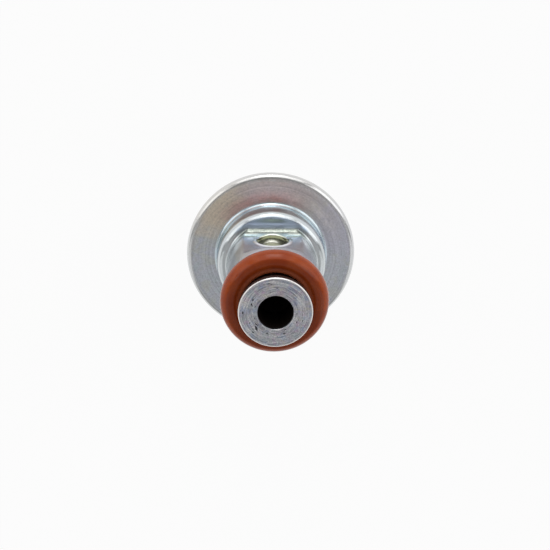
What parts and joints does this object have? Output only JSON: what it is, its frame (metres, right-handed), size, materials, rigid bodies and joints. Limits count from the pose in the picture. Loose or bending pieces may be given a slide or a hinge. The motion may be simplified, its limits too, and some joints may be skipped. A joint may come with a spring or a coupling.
{
  "type": "fuel pressure regulator",
  "caption": "Crimped-can diaphragm fuel pressure regulator with a stepped neck, an inlet hole in a pressed flat, turned outlet nose and thick seal ring.",
  "frame": {"origin": "centre of the spring cover's flat end, on which the regulator stands", "axes": "+Z along the regulator's axis towards the outlet nose, -Y towards the inlet hole"},
  "size_m": [0.036, 0.036, 0.0475],
  "materials": {
    "zinc_housing": "bright zinc plate with an iridescent passivation",
    "zinc_cover": "bright zinc plate with an iridescent passivation",
    "turned_nozzle": "turned steel, zinc plated, with concentric tool marks",
    "seal_rubber": "satin red-brown fluorocarbon rubber",
    "diaphragm_rubber": "black rubber on fabric",
    "pressed_steel": "plain zinc plate",
    "holder_brass": "turned brass",
    "hardened_steel": "ground steel",
    "spring_steel": "spring wire"
  },
  "bodies": {
    "regulator": {"lower_housing": "zinc_housing", "spring_cover": "zinc_cover", "outlet_nozzle": "turned_nozzle", "valve_seat": "hardened_steel", "nose_seal": "seal_rubber", "diaphragm": "diaphragm_rubber", "main_spring": "spring_steel"},
    "valve": {"support_plate": "pressed_steel", "valve_holder": "holder_brass", "valve_ball": "hardened_steel", "valve_plate": "hardened_steel", "valve_retainer": "hardened_steel", "ball_spring": "spring_steel"}
  },
  "joints": [
    {"name": "valve_lift", "type": "slide", "parent": "regulator", "child": "valve", "axis": [0, 0, -1], "range_m": [0, 0.001], "stiffness_N_per_m": 12000, "springref_m": -0.00004, "deforming": ["main_spring", "diaphragm"]}
  ]
}
